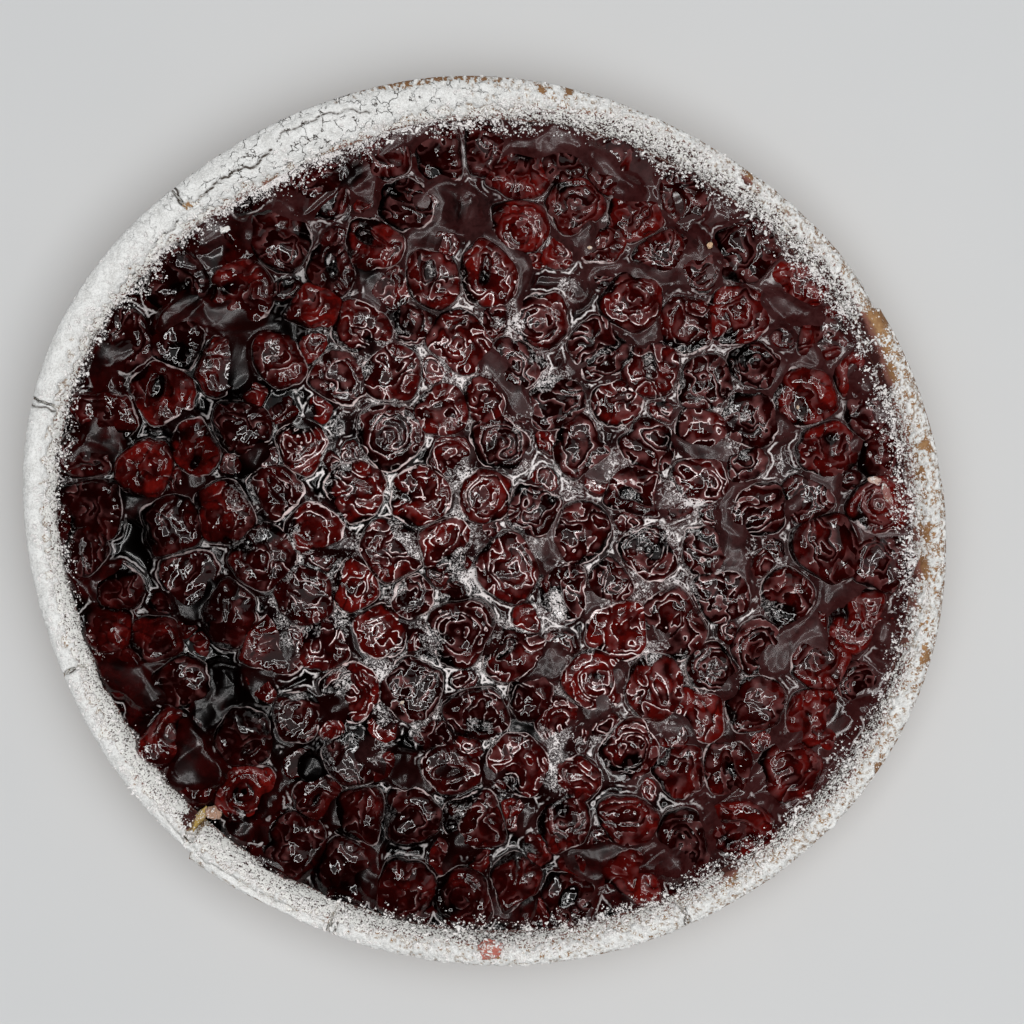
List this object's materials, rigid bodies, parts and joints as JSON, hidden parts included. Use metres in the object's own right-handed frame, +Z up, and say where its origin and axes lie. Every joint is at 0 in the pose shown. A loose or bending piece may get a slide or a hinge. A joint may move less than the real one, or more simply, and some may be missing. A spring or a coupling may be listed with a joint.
{
  "type": "open cherry pie",
  "caption": "Whole open cherry pie: an oval shortcrust case with a dusted, cracked rim, filled with shrivelled cherries in set juice.",
  "frame": {"origin": "middle of the flat underside, on the surface that the pie stands on", "axes": "+Z up through the filling; +X along the wider way across the pie, and +Y across it"},
  "size_m": [0.2657, 0.2562, 0.0323],
  "materials": {
    "crust": "baked shortcrust, dry and matt, golden brown",
    "filling": "cherries and set cherry juice, wet and glossy, very dark red",
    "icing_sugar": "icing sugar, powdery and matt, white"
  },
  "bodies": {
    "root": {"crust": "crust", "cherry_filling": "filling"}
  },
  "joints": []
}
